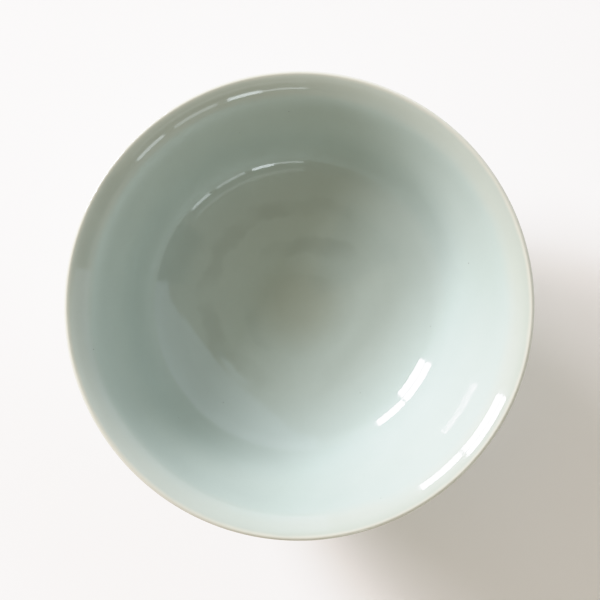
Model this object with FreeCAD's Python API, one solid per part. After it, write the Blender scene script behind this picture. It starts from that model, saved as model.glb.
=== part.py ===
"""Rice bowl: one turned porcelain body and the glaze coats fired onto it.

Millimetres, +Z up. The origin is the centre of the foot's resting plane, and every
piece is turned about the Z axis.
"""
import FreeCAD, Part
import math
import os

Vector = FreeCAD.Vector
os.makedirs("parts", exist_ok=True)

# ---- driving dimensions, mm and degrees -------------------------------------------
RIM_RADIUS = 58.0        # to the outermost point of the lip
LIP_RADIUS = 0.7         # the rounded edge of the lip, outside the glaze
LIP_SLOPE = 20.0         # the inside wall's slope where the rounded edge begins
FLOOR_Z = 9.4            # the lowest point of the inside, above the resting plane

# The inside wall's slope in degrees at each radius: a shallow well, a quick turn into
# a steep wall, and a lip that flares outwards.
INSIDE_SLOPES = (
    (0.0, 0.0),
    (12.0, 11.0),
    (25.0, 20.5),
    (32.0, 25.2),
    (33.9, 27.3),
    (35.45, 33.4),
    (36.95, 37.8),
    (38.5, 45.0),
    (40.5, 56.0),
    (42.5, 62.0),
    (45.0, 61.5),
    (47.0, 60.5),
    (48.7, 61.0),
    (50.6, 55.5),
    (52.2, 46.5),
    (53.8, 38.4),
    (55.05, 34.3),
    (RIM_RADIUS - LIP_RADIUS * (1.0 + math.sin(math.radians(LIP_SLOPE))), LIP_SLOPE),
)

WALL_AT_LIP = 2.0 * LIP_RADIUS
WALL_AT_FOOT = 4.6       # wall with its glaze, square to the inside, above the foot ring

GLAZE = 0.4              # coat on the walls, the well and under the base
GLAZE_AT_LIP = 0.2       # the coat runs thin over the lip
GLAZE_THINNING = 6.0     # distance from the lip, by radius, over which it runs thin

FOOT_RADIUS = 24.0       # the clay ring's outside at its lower edge
FOOT_WIDTH = 3.2         # the clay ring's width there, chamfers included
FOOT_TAPER = 0.5         # each side of the ring widens by this much on its way up
FOOT_CHAMFER = 0.6       # bare chamfer on both edges of the ring
FOOT_COVE = 1.8          # reach of the hollow between the ring and the wall
BARE_HEIGHT = 1.2        # the glaze stops this far above the resting plane
RECESS_Z = 5.2           # the recess inside the foot ring, at its centre, in clay
RECESS_DISH = 0.4        # the recess is this much lower by the ring than at its centre
RECESS_CORNER = 1.6      # reach of the hollow between the recess and the ring

STEPS = 48               # spans worked out along a wall before a spline joins them
SUM_STEP = 0.05          # step in radius when the slope is summed into a height
NUDGE = 0.001            # share of a wall over which its end directions are measured
CLOSE_ENOUGH = 1e-6      # when a search for a radius stops


# ---- geometry helpers -------------------------------------------------------------
def point(radius, height):
    """A point of the half section, which lies in the XZ plane."""
    return Vector(radius, 0.0, height)


def along(slope):
    """Unit vector that climbs outwards along the wall, at a slope in degrees."""
    return point(math.cos(math.radians(slope)), math.sin(math.radians(slope)))


def across(slope):
    """Unit vector from the inside surface into the wall, at a slope in degrees."""
    return along(slope - 90.0)


def smooth(value):
    """0 below 0, 1 above 1, and an even S between."""
    value = max(0.0, min(1.0, value))
    return value * value * (3.0 - 2.0 * value)


def line(start, end):
    return Part.LineSegment(start, end).toShape()


def arc(start, middle, end):
    return Part.Arc(start, middle, end).toShape()


def curve(points, first, last):
    """One smooth curve through the points that leaves and arrives in set directions."""
    spline = Part.BSplineCurve()
    spline.interpolate(Points=points, InitialTangent=first / first.Length,
                       FinalTangent=last / last.Length, Scale=False)
    return spline.toShape()


def turned(edges):
    """The closed half section, turned once round the Z axis into a solid."""
    section = Part.Face(Part.Wire(Part.sortEdges(edges)[0]))
    return section.revolve(Vector(0, 0, 0), Vector(0, 0, 1), 360.0)


# ---- the inside wall, which drives everything else ---------------------------------
def inside_slope(radius):
    """The slope at a radius: a cubic between the two stations on either side of it."""
    last = len(INSIDE_SLOPES) - 1
    here = max(i for i in range(last) if INSIDE_SLOPES[i][0] <= radius)

    def steepening(i):
        low, high = INSIDE_SLOPES[max(i - 1, 0)], INSIDE_SLOPES[min(i + 1, last)]
        return (high[1] - low[1]) / (high[0] - low[0])

    (r0, s0), (r1, s1) = INSIDE_SLOPES[here], INSIDE_SLOPES[here + 1]
    span = r1 - r0
    t = (radius - r0) / span
    return (s0 * (1 + 2 * t) * (1 - t) ** 2 + s1 * t * t * (3 - 2 * t)
            + span * t * (1 - t) * (steepening(here) * (1 - t) - steepening(here + 1) * t))


def inside_height(radius):
    """The height of the inside surface: its slope summed from the axis outwards."""
    steps = max(1, round(radius / SUM_STEP))
    width = radius / steps
    climbs = (math.tan(math.radians(inside_slope((i + 0.5) * width))) for i in range(steps))
    return FLOOR_Z + width * sum(climbs)


LIP_START = INSIDE_SLOPES[-1][0]
LIP_CENTRE = point(LIP_START, inside_height(LIP_START)) + across(LIP_SLOPE) * LIP_RADIUS


def wall_thickness(radius):
    """The wall with its glaze, thickest over the foot ring and thinnest at the lip."""
    climb = smooth((radius - FOOT_RADIUS) / (LIP_START - FOOT_RADIUS))
    return WALL_AT_FOOT + (WALL_AT_LIP - WALL_AT_FOOT) * climb


def glaze_thickness(radius):
    thinning = smooth(1.0 - (LIP_START - radius) / GLAZE_THINNING)
    return GLAZE + (GLAZE_AT_LIP - GLAZE) * thinning


# ---- outlines. coat is 0 for the clay's surface and 1 for the glaze's ---------------
def inside_spot(radius, coat):
    """Where the inside surface is, square to the glaze's surface at that radius."""
    depth = glaze_thickness(radius) * (1 - coat)
    return point(radius, inside_height(radius)) + across(inside_slope(radius)) * depth


def outside_spot(radius, coat):
    """The same for the outside surface."""
    depth = wall_thickness(radius) - glaze_thickness(radius) * (1 - coat)
    return point(radius, inside_height(radius)) + across(inside_slope(radius)) * depth


def wall_curve(spot, coat, start, end):
    """A smooth curve along one side of the wall, as inside radii go from start to end.

    Returns the curve and the direction in which it arrives.
    """
    radii = [start + (end - start) * step / STEPS for step in range(STEPS + 1)]
    nudge = (end - start) * NUDGE
    first = spot(start + nudge, coat) - spot(start, coat)
    last = spot(end, coat) - spot(end - nudge, coat)
    return curve([spot(radius, coat) for radius in radii], first, last), last


def inside_outline(coat):
    """The inside, from the axis up to the lip."""
    return [wall_curve(inside_spot, coat, 0.0, LIP_START)[0]]


def lip_outline(coat):
    """The rounded edge, from the inside over the top to the outside."""
    radius = LIP_RADIUS - GLAZE_AT_LIP * (1 - coat)
    return [arc(LIP_CENTRE - across(LIP_SLOPE) * radius,
                LIP_CENTRE + along(LIP_SLOPE) * radius,
                LIP_CENTRE + across(LIP_SLOPE) * radius)]


def lip_joint(side):
    """Where the lip's coat meets the inside one (side -1) or the outside one (side 1)."""
    direction = across(LIP_SLOPE) * side
    return [line(LIP_CENTRE + direction * LIP_RADIUS,
                 LIP_CENTRE + direction * (LIP_RADIUS - GLAZE_AT_LIP))]


def ring_side(coat, outside):
    """Radii of one side of the foot ring where the glaze ends and at the ring's top."""
    sign = 1 if outside else -1
    lower = FOOT_RADIUS if outside else FOOT_RADIUS - FOOT_WIDTH
    return lower + sign * GLAZE * coat, lower + sign * (GLAZE * coat + FOOT_TAPER)


def radius_over(reach, coat):
    """The inside radius whose spot on the outside surface is at a given radius."""
    low, high = 0.0, reach
    while high - low > CLOSE_ENOUGH:
        middle = (low + high) / 2
        if outside_spot(middle, coat).x < reach:
            low = middle
        else:
            high = middle
    return low


def outside_outline(coat):
    """The outside, from the lip down the wall and the foot ring to the glaze's end."""
    lower, upper = ring_side(coat, True)
    wall_end = radius_over(upper + FOOT_COVE, coat)
    wall, inwards = wall_curve(outside_spot, coat, LIP_START, wall_end)
    wall_foot = outside_spot(wall_end, coat)
    ring_top = point(upper, wall_foot.z - FOOT_COVE)
    ring_end = point(lower, BARE_HEIGHT + GLAZE * coat)
    return [wall,
            curve([wall_foot, ring_top], inwards, ring_end - ring_top),
            line(ring_top, ring_end)]


def recess_outline(coat):
    """The recess under the base, from the axis out to the glaze's end in the ring."""
    lower, upper = ring_side(coat, False)
    middle = point(0, RECESS_Z - GLAZE * coat)
    edge = point(upper - RECESS_CORNER, RECESS_Z - RECESS_DISH - GLAZE * coat)
    ring_end = point(lower, BARE_HEIGHT + GLAZE * coat)
    ring_top = point(upper, edge.z - RECESS_CORNER)
    return [curve([middle, edge], along(0), edge - middle),
            curve([edge, ring_top], edge - middle, ring_end - ring_top),
            line(ring_top, ring_end)]


def glaze_end(outside):
    """The glaze's rounded lower end on one side of the foot ring."""
    clay, glaze = ring_side(0, outside)[0], ring_side(1, outside)[0]
    middle = point(clay + (glaze - clay) * math.sqrt(0.5),
                   BARE_HEIGHT + GLAZE * (1 - math.sqrt(0.5)))
    return [arc(point(clay, BARE_HEIGHT), middle, point(glaze, BARE_HEIGHT + GLAZE))]


def foot_rim_outline():
    """The bare rim that the bowl stands on, between the two ends of the glaze."""
    outer, inner = FOOT_RADIUS, FOOT_RADIUS - FOOT_WIDTH
    corners = [point(outer, BARE_HEIGHT), point(outer, FOOT_CHAMFER),
               point(outer - FOOT_CHAMFER, 0), point(inner + FOOT_CHAMFER, 0),
               point(inner, FOOT_CHAMFER), point(inner, BARE_HEIGHT)]
    return [line(a, b) for a, b in zip(corners, corners[1:])]


# ---- sub-parts ----------------------------------------------------------------------
def clay_body():
    axis = line(point(0, FLOOR_Z - GLAZE), point(0, RECESS_Z))
    return turned(inside_outline(0) + lip_outline(0) + outside_outline(0)
                  + foot_rim_outline() + recess_outline(0) + [axis])


def inner_glaze():
    axis = line(point(0, FLOOR_Z), point(0, FLOOR_Z - GLAZE))
    return turned(inside_outline(1) + inside_outline(0) + lip_joint(-1) + [axis])


def lip_glaze():
    return turned(lip_outline(1) + lip_outline(0) + lip_joint(-1) + lip_joint(1))


def outer_glaze():
    return turned(outside_outline(1) + outside_outline(0) + lip_joint(1) + glaze_end(True))


def foot_well_glaze():
    axis = line(point(0, RECESS_Z), point(0, RECESS_Z - GLAZE))
    return turned(recess_outline(1) + recess_outline(0) + glaze_end(False) + [axis])


for make in (clay_body, inner_glaze, lip_glaze, outer_glaze, foot_well_glaze):
    shape = make()
    shape.exportStep("parts/" + make.__name__ + ".step")
    print(make.__name__, shape.ShapeType, "valid", shape.isValid(),
          "volume %.0f mm3" % shape.Volume, "top %.2f" % shape.BoundBox.ZMax)
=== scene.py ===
"""Looks of a celadon rice bowl: glaze coats and clay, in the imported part's frame.

Metres. The glaze coats are lathe meshes on the CAD section, with the low rings and
waves that a wheel and a kiln leave. The clay is the CAD node with its own material.
"""
import math
import bpy
import numpy as np
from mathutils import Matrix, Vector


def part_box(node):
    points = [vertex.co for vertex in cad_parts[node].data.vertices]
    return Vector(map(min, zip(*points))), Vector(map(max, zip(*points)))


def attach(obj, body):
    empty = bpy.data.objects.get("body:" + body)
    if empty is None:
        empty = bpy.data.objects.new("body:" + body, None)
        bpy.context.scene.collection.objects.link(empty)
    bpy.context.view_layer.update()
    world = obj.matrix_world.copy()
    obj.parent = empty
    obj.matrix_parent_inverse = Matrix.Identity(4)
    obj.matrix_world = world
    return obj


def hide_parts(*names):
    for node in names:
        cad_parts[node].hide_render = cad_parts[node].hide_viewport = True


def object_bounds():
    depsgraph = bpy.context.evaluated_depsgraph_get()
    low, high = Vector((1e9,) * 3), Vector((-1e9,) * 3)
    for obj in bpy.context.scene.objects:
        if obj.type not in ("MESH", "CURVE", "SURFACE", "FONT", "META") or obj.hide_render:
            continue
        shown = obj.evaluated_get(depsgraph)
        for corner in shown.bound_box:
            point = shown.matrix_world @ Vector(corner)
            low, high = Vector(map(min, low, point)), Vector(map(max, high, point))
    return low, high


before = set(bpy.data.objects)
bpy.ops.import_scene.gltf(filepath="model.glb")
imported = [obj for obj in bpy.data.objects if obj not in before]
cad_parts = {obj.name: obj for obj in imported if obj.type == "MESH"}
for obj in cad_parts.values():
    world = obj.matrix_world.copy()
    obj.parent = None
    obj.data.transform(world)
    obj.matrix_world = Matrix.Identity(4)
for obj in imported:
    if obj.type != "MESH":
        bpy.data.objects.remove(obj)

cad_box = [list(corner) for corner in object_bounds()]

# ---- sizes worked out from the frame ---------------------------------------------------
RIM_MM = 58.0                      # the rim radius for which the sizes below are given
RIM_RADIUS = cad_box[1][0]
RIM_Z = cad_box[1][2]
MM = RIM_RADIUS / RIM_MM
WELL_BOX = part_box("foot_well_glaze")
OUTER_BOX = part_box("outer_glaze")
GLAZE_END_Z = OUTER_BOX[0].z

# ---- the section, as in the CAD part ---------------------------------------------------
LIP_MM = 0.7                       # radius of the lip's rounded edge, in mm
LIP_SLOPE = 20.0                   # the inside's slope where that edge begins, in degrees
INSIDE_SLOPES = np.array([         # radius in mm, slope in degrees
    (0.0, 0.0), (12.0, 11.0), (25.0, 20.5), (32.0, 25.2), (33.9, 27.3), (35.45, 33.4),
    (36.95, 37.8), (38.5, 45.0), (40.5, 56.0), (42.5, 62.0), (45.0, 61.5), (47.0, 60.5),
    (48.7, 61.0), (50.6, 55.5), (52.2, 46.5), (53.8, 38.4), (55.05, 34.3),
    (RIM_MM - LIP_MM * (1.0 + math.sin(math.radians(LIP_SLOPE))), LIP_SLOPE)])
LIP_RADIUS = LIP_MM * MM
WALL_AT_FOOT = 4.6 * MM            # wall with its glaze, above the foot ring
GLAZE = 0.4 * MM
GLAZE_AT_LIP = 0.2 * MM
GLAZE_THINNING = 6.0 * MM          # distance from the lip over which the coat runs thin
FOOT_RADIUS = 24.0 * MM            # the clay ring's outside where the glaze ends
FOOT_TAPER = 0.5 * MM              # each side of the ring widens by this on its way up
FOOT_COVE = 1.8 * MM               # reach of the hollow between the ring and the wall
RECESS_CORNER = 1.6 * MM           # the same between the ring and the recess
RECESS_DISH = 0.4 * MM             # the recess is this much lower by the ring

# ---- mesh fineness and the marks of the wheel ------------------------------------------
TURNS = 320                        # columns of faces round the bowl
STEP = 0.45 * MM                   # length of a face along the section
LIP_STEP = 0.11 * MM               # the same on the lip and where the glaze ends
BACK_EVERY = 4                     # the hidden side of a coat keeps every fourth row
INSIDE_POINTS = 6000               # points worked out on the inside before it is resampled
BEND_POINTS = 60                   # the same on a bend between two parts of the section
LIP_POINTS = 90                    # the same on the lip
BEAD_POINTS = 24                   # the same where the glaze ends
ON_AXIS = 1e-9                     # nearer the axis than this, a point is on it
COAT_GONE = GLAZE / 1000           # thinner than this, a coat has ended
RING_HEIGHT = 0.012 * MM           # throwing rings left in the well
RING_SPACING = 5.2 * MM
RINGS = ((1.0, 1.0, 0.0), (0.61, 0.5, 1.0))    # share of spacing, share of height, phase
RINGS_BEGIN = (3 * MM, 11 * MM)    # radii over which the rings come in
RINGS_END = (20 * MM, 34 * MM)     # and over which they fade out
WAVE_HEIGHT = 0.05 * MM            # the whole bowl's slight unevenness
WAVES = ((2, 1.0, 0.6), (3, 0.5, 2.1), (5, 0.3, 4.0))   # waves a turn, share, phase
WAVES_BEGIN = (RIM_Z / 3, RIM_Z * 5 / 6)       # heights over which the waves come in

# ---- colours, and where on the bowl they lie -----------------------------------------------
CELADON = (0.42, 0.485, 0.44)      # the glaze at its full thickness over white clay
THIN_CELADON = (0.44, 0.48, 0.42)  # where it runs thin towards the lip
LIP_EDGE = (0.60, 0.58, 0.49)      # the clay's warmth through the thinnest glaze
POOLED = (0.41, 0.485, 0.45)       # where it gathered at the bottom of the wall
PAINTED_MIDDLE_SHADE = (0.39, 0.433, 0.373)      # painted shade and painted dark reflection: the middle of the well darker and yellower
SWIRL = (0.34, 0.39, 0.35)         # in the spiral groove that the potter's finger left there; shown only on the shaded side of the well, so partly painted shade
CLAY = (0.66, 0.56, 0.44)
LIGHTER_CLAY = tuple(1.18 * share for share in CLAY)
IRON = (0.10, 0.075, 0.06)         # the specks in the glaze and the pits in the clay
FLOOR = (0.96, 0.905, 0.875)
LEVEL_WANDER = 1.5 * MM            # the height at which one colour gives way wanders this far
POOL_RADII = (20 * MM, 34 * MM)    # in each pair: where a colour is absent, and where full
POOL_LEVELS = (RIM_Z * 0.75, RIM_Z * 0.40)
PAINTED_MIDDLE_SHADE_RADII = (15 * MM, 3 * MM)
THIN_LEVELS = (RIM_Z - 5 * MM, RIM_Z - 1 * MM)
EDGE_WANDER = 0.5 * MM
EDGE_RADII = (RIM_RADIUS - 1.4 * MM, RIM_RADIUS - 0.4 * MM)
SWIRL_RADII = (34 * MM, 26 * MM)
SWIRL_SHADED_SIDE = (-24 * MM, 10 * MM)   # y less x: painted shade, so that the spiral shows only towards +Y and -X, the side of the well in shade
SWIRL_SPACING = 10.0 * MM          # the spiral's pitch
SWIRL_WANDER = 5.0                 # radians by which noise bends it
SWIRL_CREST = (-0.2, 1.0)          # sine across the spiral
SWIRL_PATCHES = (0.35, 0.70)       # noise that breaks it up
POOL_STRENGTH = 0.6                # how far each colour replaces the one below it
SWIRL_STRENGTH = 0.6
EDGE_STRENGTH = 0.8
SPECK_STRENGTH = 0.8
PIT_STRENGTH = 0.5
CLAY_PITS = (0.68, 0.74)           # noise above which the clay has a pit
GLAZE_IOR = 1.55                   # refractive index
SPECK_EDGE = (1.3, 0.5)            # shares of a speck's radius over which it darkens
SPECKS = (                         # share of the rim's radius, bearing in degrees, mm across
    (0.761, 14, 0.34), (0.59, 351, 0.22), (0.837, 93, 0.26), (0.792, 109, 0.20),
    (0.547, 232, 0.22), (0.721, 223, 0.20), (0.897, 192, 0.24), (0.792, 291, 0.22),
    (0.894, 293, 0.26), (0.475, 305, 0.20))

# ---- room, lights and camera -----------------------------------------------------------------
ROOM_SIZE = 8.0                    # the pale floor's side
CAMERA_HEIGHT = 0.65               # above the rim
PICTURE_WIDTH = 147.75 * MM        # what the picture spans at the rim's height
AIM = (0.23 * MM, 1.41 * MM)       # the camera is this far off the bowl's axis
PANEL_DISTANCE = 2.6               # from the bowl's axis to every panel
DAYLIGHT = (1.0, 1.0, 1.10)
FAR_DAYLIGHT = (0.9, 1.0, 1.05)
WALL_LIGHT = (0.44, 0.60, 0.80)
PANELS = (                         # bearings and elevations in degrees, radiance, colour
    ("window_high", (138.6, 156.0), (27.2, 38.4), 45.0, DAYLIGHT),
    ("window_low", (138.6, 156.0), (17.4, 25.4), 45.0, DAYLIGHT),
    ("window_side", (124.0, 137.2), (17.4, 25.4), 42.0, DAYLIGHT),
    ("far_window_0", (-51.5, -42.0), (15.5, 21.0), 3.6, FAR_DAYLIGHT),
    ("far_window_1", (-68.0, -55.0), (15.5, 21.0), 2.2, FAR_DAYLIGHT),
    ("far_window_2", (-80.0, -71.0), (15.5, 21.0), 7.0, FAR_DAYLIGHT),
    ("far_window_3", (-92.0, -80.0), (17.0, 20.0), 2.6, FAR_DAYLIGHT),
    ("far_window_4", (-92.0, -42.0), (29.0, 36.5), 0.5, FAR_DAYLIGHT),
    ("pale_wall", (-10.0, 98.0), (1.0, 52.0), 1.0, WALL_LIGHT))
SKY = (                            # sine of elevation, colour of the room there
    (0.00, (0.66, 0.60, 0.53)), (0.15, (0.64, 0.58, 0.51)), (0.35, (0.56, 0.51, 0.43)),
    (0.60, (0.52, 0.47, 0.38)), (0.85, (0.46, 0.41, 0.31)), (1.00, (0.34, 0.30, 0.19)))
ROOM_PARTS = (                     # bearings, elevations, share darker (below 0, brighter)
    ((-36.0, -10.0), (14.0, 45.0), 0.75), ((-130.0, -37.0), (14.0, 30.0), 0.3),
    ((-155.0, -115.0), (46.0, 80.0), 0.8), ((-110.0, 10.0), (-3.0, 12.0), -0.25))
PART_EDGE = 0.02                   # such a part fades over this, in radians or in sine
BRIGHTEST = 2.0                    # light that the picture shows as white
WHITE = 0.996                      # how bright that white is
SHOULDER = (                       # share of the brightest light, how bright it is shown
    (0.35, 0.70), (0.425, 0.818), (0.5, 0.890), (0.625, 0.952), (0.8, 0.985))


# ---- the section ----------------------------------------------------------------------------
def smooth(value, low, high):
    """0 up to low, 1 from high on, and an even S between."""
    value = np.clip((value - low) / (high - low), 0.0, 1.0)
    return value * value * (3.0 - 2.0 * value)


def across(slope):
    """Unit vectors from the inside surface into the wall, at slopes in degrees."""
    angle = np.radians(slope)
    return np.stack([np.sin(angle), -np.cos(angle)], axis=-1)


def inside_slope(radius):
    """Slope of the inside at each radius: a cubic between neighbouring stations."""
    at, slope = INSIDE_SLOPES[:, 0] * MM, INSIDE_SLOPES[:, 1]
    ends = np.arange(len(at))
    low, high = np.maximum(ends - 1, 0), np.minimum(ends + 1, len(at) - 1)
    steepening = (slope[high] - slope[low]) / (at[high] - at[low])
    here = np.clip(np.searchsorted(at, radius, side="right") - 1, 0, len(at) - 2)
    span = at[here + 1] - at[here]
    t = (radius - at[here]) / span
    return (slope[here] * (1 + 2 * t) * (1 - t) ** 2 + slope[here + 1] * t * t * (3 - 2 * t)
            + span * t * (1 - t) * (steepening[here] * (1 - t) - steepening[here + 1] * t))


def resampled(points, step):
    """The same broken line with points evenly spaced about a step apart."""
    length = np.concatenate([[0], np.cumsum(np.hypot(*np.diff(points, axis=0).T))])
    count = max(2, int(round(length[-1] / step)) + 1)
    even = np.linspace(0, length[-1], count)
    return np.stack([np.interp(even, length, points[:, i]) for i in (0, 1)], axis=1)


def bend(start, leaving, end, arriving):
    """A cubic from one point to another that leaves and arrives in set directions."""
    t = np.linspace(0, 1, BEND_POINTS)[:, None]
    reach = np.linalg.norm(end - start)
    leaving = leaving / np.linalg.norm(leaving) * reach
    arriving = arriving / np.linalg.norm(arriving) * reach
    return (start * (1 + 2 * t) * (1 - t) ** 2 + end * t * t * (3 - 2 * t)
            + leaving * t * (1 - t) ** 2 - arriving * t * t * (1 - t))


def bead(clay_radius, outwards):
    """The glaze's rounded lower end, from the ring's side down to the clay."""
    angle = np.linspace(0, np.pi / 2, BEAD_POINTS)
    return np.stack([clay_radius + outwards * GLAZE * np.cos(angle),
                     GLAZE_END_Z + GLAZE * (1 - np.sin(angle))], axis=1)


def joined(sections):
    """Lines that run on from one another, as one without doubled points."""
    return np.concatenate([sections[0]] + [part[1:] for part in sections[1:]])


def inside_section():
    """Slopes and points of the inside from its centre to the lip, and the lip's centre."""
    radius = np.linspace(0, INSIDE_SLOPES[-1, 0] * MM, INSIDE_POINTS)
    slope = inside_slope(radius)
    rise = np.tan(np.radians(slope))
    height = np.concatenate([[0], np.cumsum((rise[1:] + rise[:-1]) / 2 * np.diff(radius))])
    inside = np.stack([radius, height], axis=1)
    lip_centre = inside[-1] + across(LIP_SLOPE) * LIP_RADIUS
    lift = np.array([0.0, RIM_Z - LIP_RADIUS - lip_centre[1]])
    return slope, inside + lift, lip_centre + lift


def outside_section(slope, inside):
    """The outside from the lip down: the wall, the hollow under it and the ring's side."""
    climb = smooth(inside[:, 0], FOOT_RADIUS, inside[-1, 0])
    thickness = WALL_AT_FOOT + (2 * LIP_RADIUS - WALL_AT_FOOT) * climb
    wall = (inside + across(slope) * thickness[:, None])[::-1]
    ring_top_radius = FOOT_RADIUS + GLAZE + FOOT_TAPER
    wall = wall[wall[:, 0] > ring_top_radius + FOOT_COVE]
    ring_top = np.array([ring_top_radius, wall[-1, 1] - FOOT_COVE])
    ring_end = np.array([FOOT_RADIUS + GLAZE, GLAZE_END_Z + GLAZE])
    cove = bend(wall[-1], wall[-1] - wall[-2], ring_top, ring_end - ring_top)
    return wall, cove, np.stack([ring_top, ring_end])


def glaze_skin():
    """The glazed surface's section from the well's centre over the lip to the foot.

    Returns the points, the coat's thickness at each, and the rows of the two joints.
    """
    slope, inside, lip_centre = inside_section()
    turn = np.radians(np.linspace(LIP_SLOPE + 90.0, LIP_SLOPE - 90.0, LIP_POINTS))
    lip = lip_centre + LIP_RADIUS * np.stack([np.cos(turn), np.sin(turn)], axis=1)
    wall, cove, ring = outside_section(slope, inside)
    lines = ((inside, STEP), (lip, LIP_STEP), (wall, STEP), (cove, STEP / 2), (ring, STEP),
             (bead(FOOT_RADIUS, 1), LIP_STEP))
    sections = [resampled(line, step) for line, step in lines]
    joints = [len(sections[0]) - 1, len(sections[0]) + len(sections[1]) - 2]
    points = joined(sections)
    lip_start = inside[-1, 0]
    thinning = smooth(points[:, 0], lip_start - GLAZE_THINNING, lip_start)
    coat = GLAZE + (GLAZE_AT_LIP - GLAZE) * thinning
    end = len(sections[-1])
    coat[-end:] = points[-end:, 0] - FOOT_RADIUS
    return points, coat, joints


def recess_skin():
    """The same for the recess under the base, from the glaze's end in to its centre."""
    ring_radius = WELL_BOX[1].x
    middle = np.array([0.0, WELL_BOX[1].z - GLAZE])
    edge = middle + np.array([ring_radius - FOOT_TAPER - GLAZE - RECESS_CORNER, -RECESS_DISH])
    ring_top = edge + np.array([RECESS_CORNER, -RECESS_CORNER])
    ring_end = np.array([ring_radius - GLAZE, GLAZE_END_Z + GLAZE])
    dish = bend(middle, np.array([1.0, 0.0]), edge, edge - middle)
    corner = bend(edge, edge - middle, ring_top, ring_end - ring_top)
    lines = ((dish, STEP), (corner, STEP / 2), (np.stack([ring_top, ring_end]), STEP),
             (bead(ring_radius, -1), LIP_STEP))
    sections = [resampled(line, step) for line, step in lines]
    points = joined(sections)
    coat = np.full(len(points), GLAZE)
    end = len(sections[-1])
    coat[-end:] = ring_radius - points[-end:, 0]
    return points[::-1], coat[::-1]


# ---- meshes ------------------------------------------------------------------------------
def section_normals(points):
    """Unit vectors out of the glaze. A section runs with the open side on its left."""
    run = np.gradient(points, axis=0)
    run /= np.linalg.norm(run, axis=1)[:, None]
    return np.stack([-run[:, 1], run[:, 0]], axis=1)


def unevenness(points, bearing):
    """How far each row and bearing stands off the turned section: outwards, and up."""
    radius, height = points[:, :1], points[:, 1:]
    waves = sum(share * np.sin(count * bearing + phase) for count, share, phase in WAVES)
    rings = sum(share * np.sin(2 * np.pi * radius / (spacing * RING_SPACING) - bearing + phase)
                for spacing, share, phase in RINGS)
    high = smooth(height, *WAVES_BEGIN)
    in_well = smooth(radius, *RINGS_BEGIN) * (1 - smooth(radius, *RINGS_END))
    return WAVE_HEIGHT * high * waves, RING_HEIGHT * in_well * rings


def turned_grid(points):
    """The section turned to every bearing, as rows of 3-D points, and their normals."""
    bearing = np.arange(TURNS) * 2 * np.pi / TURNS
    spots = points[:, None, :] + np.stack(unevenness(points, bearing), axis=-1)
    grid = np.stack([spots[..., 0] * np.cos(bearing), spots[..., 0] * np.sin(bearing),
                     spots[..., 1]], axis=-1)
    normals = np.cross(np.gradient(grid, axis=0),
                       np.roll(grid, -1, axis=1) - np.roll(grid, 1, axis=1))
    on_axis = points[:, 0] < ON_AXIS
    normals[on_axis] = (0, 0, np.sign(section_normals(points)[on_axis, 1].sum()))
    return grid, normals / np.linalg.norm(normals, axis=2, keepdims=True)


def coat_piece(name, node, grid, normals, coat):
    """A closed shell: the rows that show, and fewer rows a coat's thickness behind."""
    last = len(grid) - 1
    kept = [row for row in range(last + 1)
            if (row % BACK_EVERY == 0 or row == last) and coat[row] > COAT_GONE]
    rows = list(grid) + [grid[row] - normals[row] * coat[row] for row in reversed(kept)]
    shades = list(normals) + [-normals[row] for row in reversed(kept)]
    vertices, directions, index = [], [], []
    for row, shade in zip(rows, shades):
        single = np.hypot(row[0, 0], row[0, 1]) < ON_AXIS
        start = len(vertices)
        vertices.extend(row[:1] if single else row)
        directions.extend(shade[:1] if single else shade)
        index.append([start] * TURNS if single else list(range(start, start + TURNS)))
    faces = []
    for here, there in zip(index, index[1:] + index[:1]):
        for j in range(TURNS):
            k = (j + 1) % TURNS
            corners = list(dict.fromkeys((here[j], there[j], there[k], here[k])))
            if len(corners) > 2:
                faces.append(corners)
    mesh = bpy.data.meshes.new(name)
    mesh.from_pydata([tuple(map(float, v)) for v in vertices], [], faces)
    mesh.polygons.foreach_set("use_smooth", [True] * len(mesh.polygons))
    mesh.normals_split_custom_set_from_vertices([tuple(map(float, d)) for d in directions])
    piece = bpy.data.objects.new(name, mesh)
    bpy.context.scene.collection.objects.link(piece)
    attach(piece, "root")
    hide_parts(node)
    return piece


def glaze_pieces():
    """The three coats that run on from one another, and the one in the recess."""
    points, coat, joints = glaze_skin()
    grid, normals = turned_grid(points)
    first, second = joints
    parts = {"inner_glaze": slice(0, first + 1), "lip_glaze": slice(first, second + 1),
             "outer_glaze": slice(second, len(points))}
    pieces = [coat_piece(node + "_coat", node, grid[rows], normals[rows], coat[rows])
              for node, rows in parts.items()]
    points, coat = recess_skin()
    grid, normals = turned_grid(points)
    pieces.append(coat_piece("foot_well_glaze_coat", "foot_well_glaze", grid, normals, coat))
    return pieces


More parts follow.
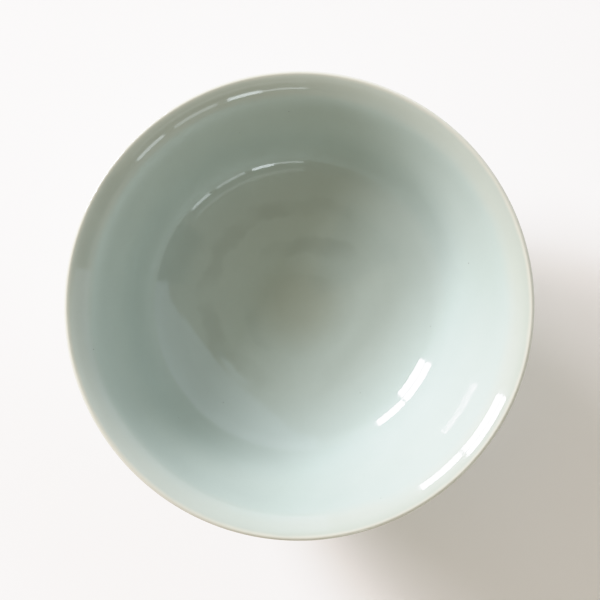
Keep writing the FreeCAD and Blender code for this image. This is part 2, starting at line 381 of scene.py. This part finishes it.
# ---- materials -----------------------------------------------------------------------------
class Nodes:
    """Shorthand for wiring the nodes of a material or of the world."""

    def __init__(self, owner, shader, place):
        owner.use_nodes = True
        self.owner = owner
        self.tree = owner.node_tree
        self.shader = self.tree.nodes[shader]
        self.place = self.add("ShaderNodeTexCoord").outputs[place]

    def add(self, kind, inputs=(), **settings):
        node = self.tree.nodes.new(kind)
        for key, value in settings.items():
            setattr(node, key, value)
        for key, value in dict(inputs).items():
            if hasattr(value, "is_linked"):
                self.tree.links.new(value, node.inputs[key])
            else:
                node.inputs[key].default_value = value
        return node

    def math(self, operation, *values):
        return self.add("ShaderNodeMath", dict(enumerate(values)), operation=operation).outputs[0]

    def ramp(self, value, low, high):
        """0 at low and 1 at high, evened out, wherever value is between."""
        node = self.add("ShaderNodeMapRange", {0: value, 1: low, 2: high},
                        interpolation_type="SMOOTHSTEP")
        return node.outputs[0]

    def blend(self, factor, one, other):
        ends = [(*c, 1.0) if isinstance(c, tuple) else c for c in (one, other)]
        node = self.add("ShaderNodeMix", {0: factor, 6: ends[0], 7: ends[1]}, data_type="RGBA")
        return node.outputs[2]

    def noise(self, size, detail=2.0, roughness=0.5):
        """Soft noise from 0 to 1 in patches of about a size."""
        node = self.add("ShaderNodeTexNoise", {
            "Vector": self.place, "Scale": 1.0 / size, "Detail": detail, "Roughness": roughness})
        return node.outputs["Fac"]

    def wandering(self, value, size, reach):
        """The value pushed up and down by up to a reach, in patches of about a size."""
        return self.math("ADD", value, self.between(self.noise(size), -reach, reach))

    def between(self, value, low, high):
        """A value from 0 to 1, turned into one from low to high."""
        return self.math("MULTIPLY_ADD", value, high - low, low)

    def shaded(self, factor, colour, amount):
        """The colour made lighter and darker by up to a share, as factor goes from 0 to 1."""
        light = self.between(factor, 1 - amount, 1 + amount)
        node = self.add("ShaderNodeVectorMath", {0: colour, "Scale": light}, operation="SCALE")
        return node.outputs[0]

    def finish(self, colour, roughness, height, distance):
        """Wire the surface: bumps stand a distance high where height is 1."""
        bump = self.add("ShaderNodeBump", {"Height": height, "Distance": distance,
                                           "Strength": 1.0})
        self.tree.links.new(colour, self.shader.inputs["Base Color"])
        self.tree.links.new(roughness, self.shader.inputs["Roughness"])
        self.tree.links.new(bump.outputs[0], self.shader.inputs["Normal"])
        return self.owner


def material_nodes(name):
    return Nodes(bpy.data.materials.new(name), "Principled BSDF", "Object")


def speck_spots():
    """Where the specks inside the bowl lie."""
    points, _, joints = glaze_skin()
    inside = points[:joints[0]]
    spots = []
    for share, bearing, across_mm in SPECKS:
        radius = share * RIM_RADIUS
        height = np.interp(radius, inside[:, 0], inside[:, 1])
        turn = math.radians(bearing)
        spots.append(((radius * math.cos(turn), radius * math.sin(turn), float(height)),
                      across_mm * MM / 2))
    return spots


def pool_share(n, radius, level):
    """How much the glaze gathered: outside the well, and low on the wall."""
    low = n.ramp(level, *POOL_LEVELS)
    return n.math("MULTIPLY", n.math("MULTIPLY", n.ramp(radius, *POOL_RADII), low),
                  POOL_STRENGTH)


def swirl_share(n, axes, radius):
    """How much of the spiral shows: in patches, and only on the shaded side of the well, as
    painted shade.
    """
    bearing = n.math("ARCTAN2", axes[1], axes[0])
    turns = n.math("MULTIPLY_ADD", radius, 2 * math.pi / SWIRL_SPACING, bearing)
    turns = n.math("MULTIPLY_ADD", n.noise(9 * MM), SWIRL_WANDER, turns)
    share = n.ramp(n.math("SINE", turns), *SWIRL_CREST)
    patches = n.ramp(n.noise(13 * MM, 1.0), *SWIRL_PATCHES)
    shaded_side = n.ramp(n.math("SUBTRACT", axes[1], axes[0]), *SWIRL_SHADED_SIDE)
    for limit in (patches, n.ramp(radius, *SWIRL_RADII), shaded_side):
        share = n.math("MULTIPLY", share, limit)
    return n.math("MULTIPLY", share, SWIRL_STRENGTH)


def with_specks(n, colour, specks):
    """The colour with iron specks that are soft at the edge."""
    for spot, size in specks:
        away = n.add("ShaderNodeVectorMath", {0: n.place, 1: spot}, operation="DISTANCE")
        none, full = (share * size for share in SPECK_EDGE)
        dark = n.ramp(away.outputs["Value"], none, full)
        colour = n.blend(n.math("MULTIPLY", dark, SPECK_STRENGTH), colour, IRON)
    return colour


def glaze_material(name, specks):
    """Celadon: blue-green where it lies thick, warm and pale where it runs thin, with painted
    shade in the middle of the well and on the well's shaded side.
    """
    n = material_nodes(name)
    axes = n.add("ShaderNodeSeparateXYZ", {0: n.place}).outputs
    squares = [n.math("MULTIPLY", axes[i], axes[i]) for i in (0, 1)]
    radius = n.math("SQRT", n.math("ADD", *squares))
    level = n.wandering(axes[2], 14 * MM, LEVEL_WANDER)
    edge = n.math("MULTIPLY_ADD", n.noise(5 * MM), EDGE_WANDER, radius)
    colour = n.blend(pool_share(n, radius, level), CELADON, POOLED)
    # a darker spiral glaze mark, kept to the shaded side of the well: partly painted shade
    colour = n.blend(swirl_share(n, axes, radius), colour, SWIRL)
    # painted shade and painted dark reflection: the middle of the well made darker and yellower
    colour = n.blend(n.ramp(radius, *PAINTED_MIDDLE_SHADE_RADII), colour, PAINTED_MIDDLE_SHADE)
    colour = n.blend(n.ramp(level, *THIN_LEVELS), colour, THIN_CELADON)
    edge_share = n.math("MULTIPLY", n.ramp(edge, *EDGE_RADII), EDGE_STRENGTH)
    colour = n.blend(edge_share, colour, LIP_EDGE)
    colour = n.shaded(n.noise(9 * MM, 3.0), colour, amount=0.035)
    colour = n.shaded(n.noise(1.1 * MM, 2.0), colour, amount=0.012)
    colour = with_specks(n, colour, specks)
    n.shader.inputs["IOR"].default_value = GLAZE_IOR
    roughness = n.between(n.noise(6 * MM), 0.03, 0.08)
    return n.finish(colour, roughness, height=n.noise(2.6 * MM, 1.0), distance=0.004 * MM)


def clay_material():
    """Bare fired porcelain on the foot's rim: warm, matt, with fine grit and a few pits."""
    n = material_nodes("bare_clay")
    colour = n.blend(n.ramp(n.noise(4 * MM, 4.0), 0.35, 0.65), CLAY, LIGHTER_CLAY)
    grit = n.noise(0.35 * MM, 4.0, 0.7)
    colour = n.shaded(grit, colour, amount=0.12)
    pits = n.ramp(n.noise(0.8 * MM, 2.0, 0.6), *CLAY_PITS)
    colour = n.blend(n.math("MULTIPLY", pits, PIT_STRENGTH), colour, IRON)
    return n.finish(colour, n.between(grit, 0.62, 0.82), height=grit, distance=0.05 * MM)


def floor_material():
    """A plain pale table top, matt and very slightly uneven."""
    n = material_nodes("pale_table")
    colour = n.shaded(n.noise(60 * MM, 2.0), FLOOR, amount=0.006)
    roughness = n.between(n.noise(3 * MM), 0.75, 0.85)
    return n.finish(colour, roughness, height=n.noise(1.5 * MM), distance=0.01 * MM)


# ---- room, lights and camera -----------------------------------------------------------------
def panel(name, bearings, elevations, radiance, colour):
    """An upright rectangle of light that fills these bearings and elevations."""
    low, high = (PANEL_DISTANCE * math.tan(math.radians(e)) for e in elevations)
    half_turn = math.radians(bearings[1] - bearings[0]) / 2
    bearing = math.radians(bearings[0] + bearings[1]) / 2
    light = bpy.data.lights.new(name, "AREA")
    light.shape = "RECTANGLE"
    light.size = 2 * PANEL_DISTANCE * math.tan(half_turn)
    light.size_y = high - low
    light.color = colour
    light.energy = radiance * math.pi * light.size * light.size_y
    lamp = bpy.data.objects.new(name, light)
    lamp.location = (PANEL_DISTANCE * math.cos(bearing), PANEL_DISTANCE * math.sin(bearing),
                     (low + high) / 2)
    lamp.rotation_euler = (math.pi / 2, 0, bearing + math.pi / 2)
    lamp.visible_camera = False
    bpy.context.scene.collection.objects.link(lamp)


def room_light():
    """Light from all round: darker overhead, with the room's own dark and bright parts."""
    world = bpy.data.worlds.new("room")
    bpy.context.scene.world = world
    n = Nodes(world, "Background", "Generated")
    axes = n.add("ShaderNodeSeparateXYZ", {0: n.place}).outputs
    bearing = n.math("ARCTAN2", axes[1], axes[0])
    ramp = n.add("ShaderNodeValToRGB", {0: axes[2]})
    light = ramp.outputs[0]
    for bearings, elevations, share in ROOM_PARTS:
        limits = ((bearing, [math.radians(b) for b in bearings]),
                  (axes[2], [math.sin(math.radians(e)) for e in elevations]))
        taken = share
        for place, (low, high) in limits:
            taken = n.math("MULTIPLY", taken, n.ramp(place, low - PART_EDGE, low + PART_EDGE))
            taken = n.math("MULTIPLY", taken, n.ramp(place, high + PART_EDGE, high - PART_EDGE))
        left = n.math("SUBTRACT", 1.0, taken)
        light = n.add("ShaderNodeVectorMath", {0: light, "Scale": left},
                      operation="SCALE").outputs[0]
    n.tree.links.new(light, n.shader.inputs[0])
    stops = ramp.color_ramp.elements
    while len(stops) < len(SKY):
        stops.new(0.5)
    for stop, (at, colour) in zip(stops, SKY):
        stop.position = at
        stop.color = (*colour, 1)


def film():
    """The picture keeps its middle tones and eases the brightest ones into white."""
    view = bpy.context.scene.view_settings
    view.view_transform = "Standard"
    view.use_curve_mapping = True
    view.curve_mapping.white_level = (BRIGHTEST,) * 3
    curve = view.curve_mapping.curves[3]     # the one for all three colours together
    curve.points[-1].location = (1.0, WHITE)
    for light, shown in SHOULDER:
        curve.points.new(light, shown)
    for point in curve.points:
        point.handle_type = "AUTO_CLAMPED"
    view.curve_mapping.update()


def floor():
    """The table, which is staging and not a part of the bowl."""
    half = ROOM_SIZE / 2
    mesh = bpy.data.meshes.new("table")
    mesh.from_pydata([(-half, -half, 0), (half, -half, 0), (half, half, 0), (-half, half, 0)],
                     [], [(0, 1, 2, 3)])
    mesh.materials.append(floor_material())
    table = bpy.data.objects.new("table", mesh)
    bpy.context.scene.collection.objects.link(table)


def camera():
    """Straight above the bowl, nearly over its axis, and just wider than the rim."""
    lens = bpy.data.cameras.new("camera")
    lens.angle = 2 * math.atan(PICTURE_WIDTH / 2 / CAMERA_HEIGHT)
    view = bpy.data.objects.new("camera", lens)
    view.location = (AIM[0], AIM[1], RIM_Z + CAMERA_HEIGHT)
    bpy.context.scene.collection.objects.link(view)
    bpy.context.scene.camera = view


# ---- the scene ---------------------------------------------------------------------------------
for piece in glaze_pieces():
    specks = speck_spots() if piece.name.startswith("inner") else []
    piece.data.materials.append(glaze_material(piece.name, specks))
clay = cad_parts["clay_body"]
clay.data.materials.clear()
clay.data.materials.append(clay_material())

floor()
room_light()
for row in PANELS:
    panel(*row)
camera()
film()
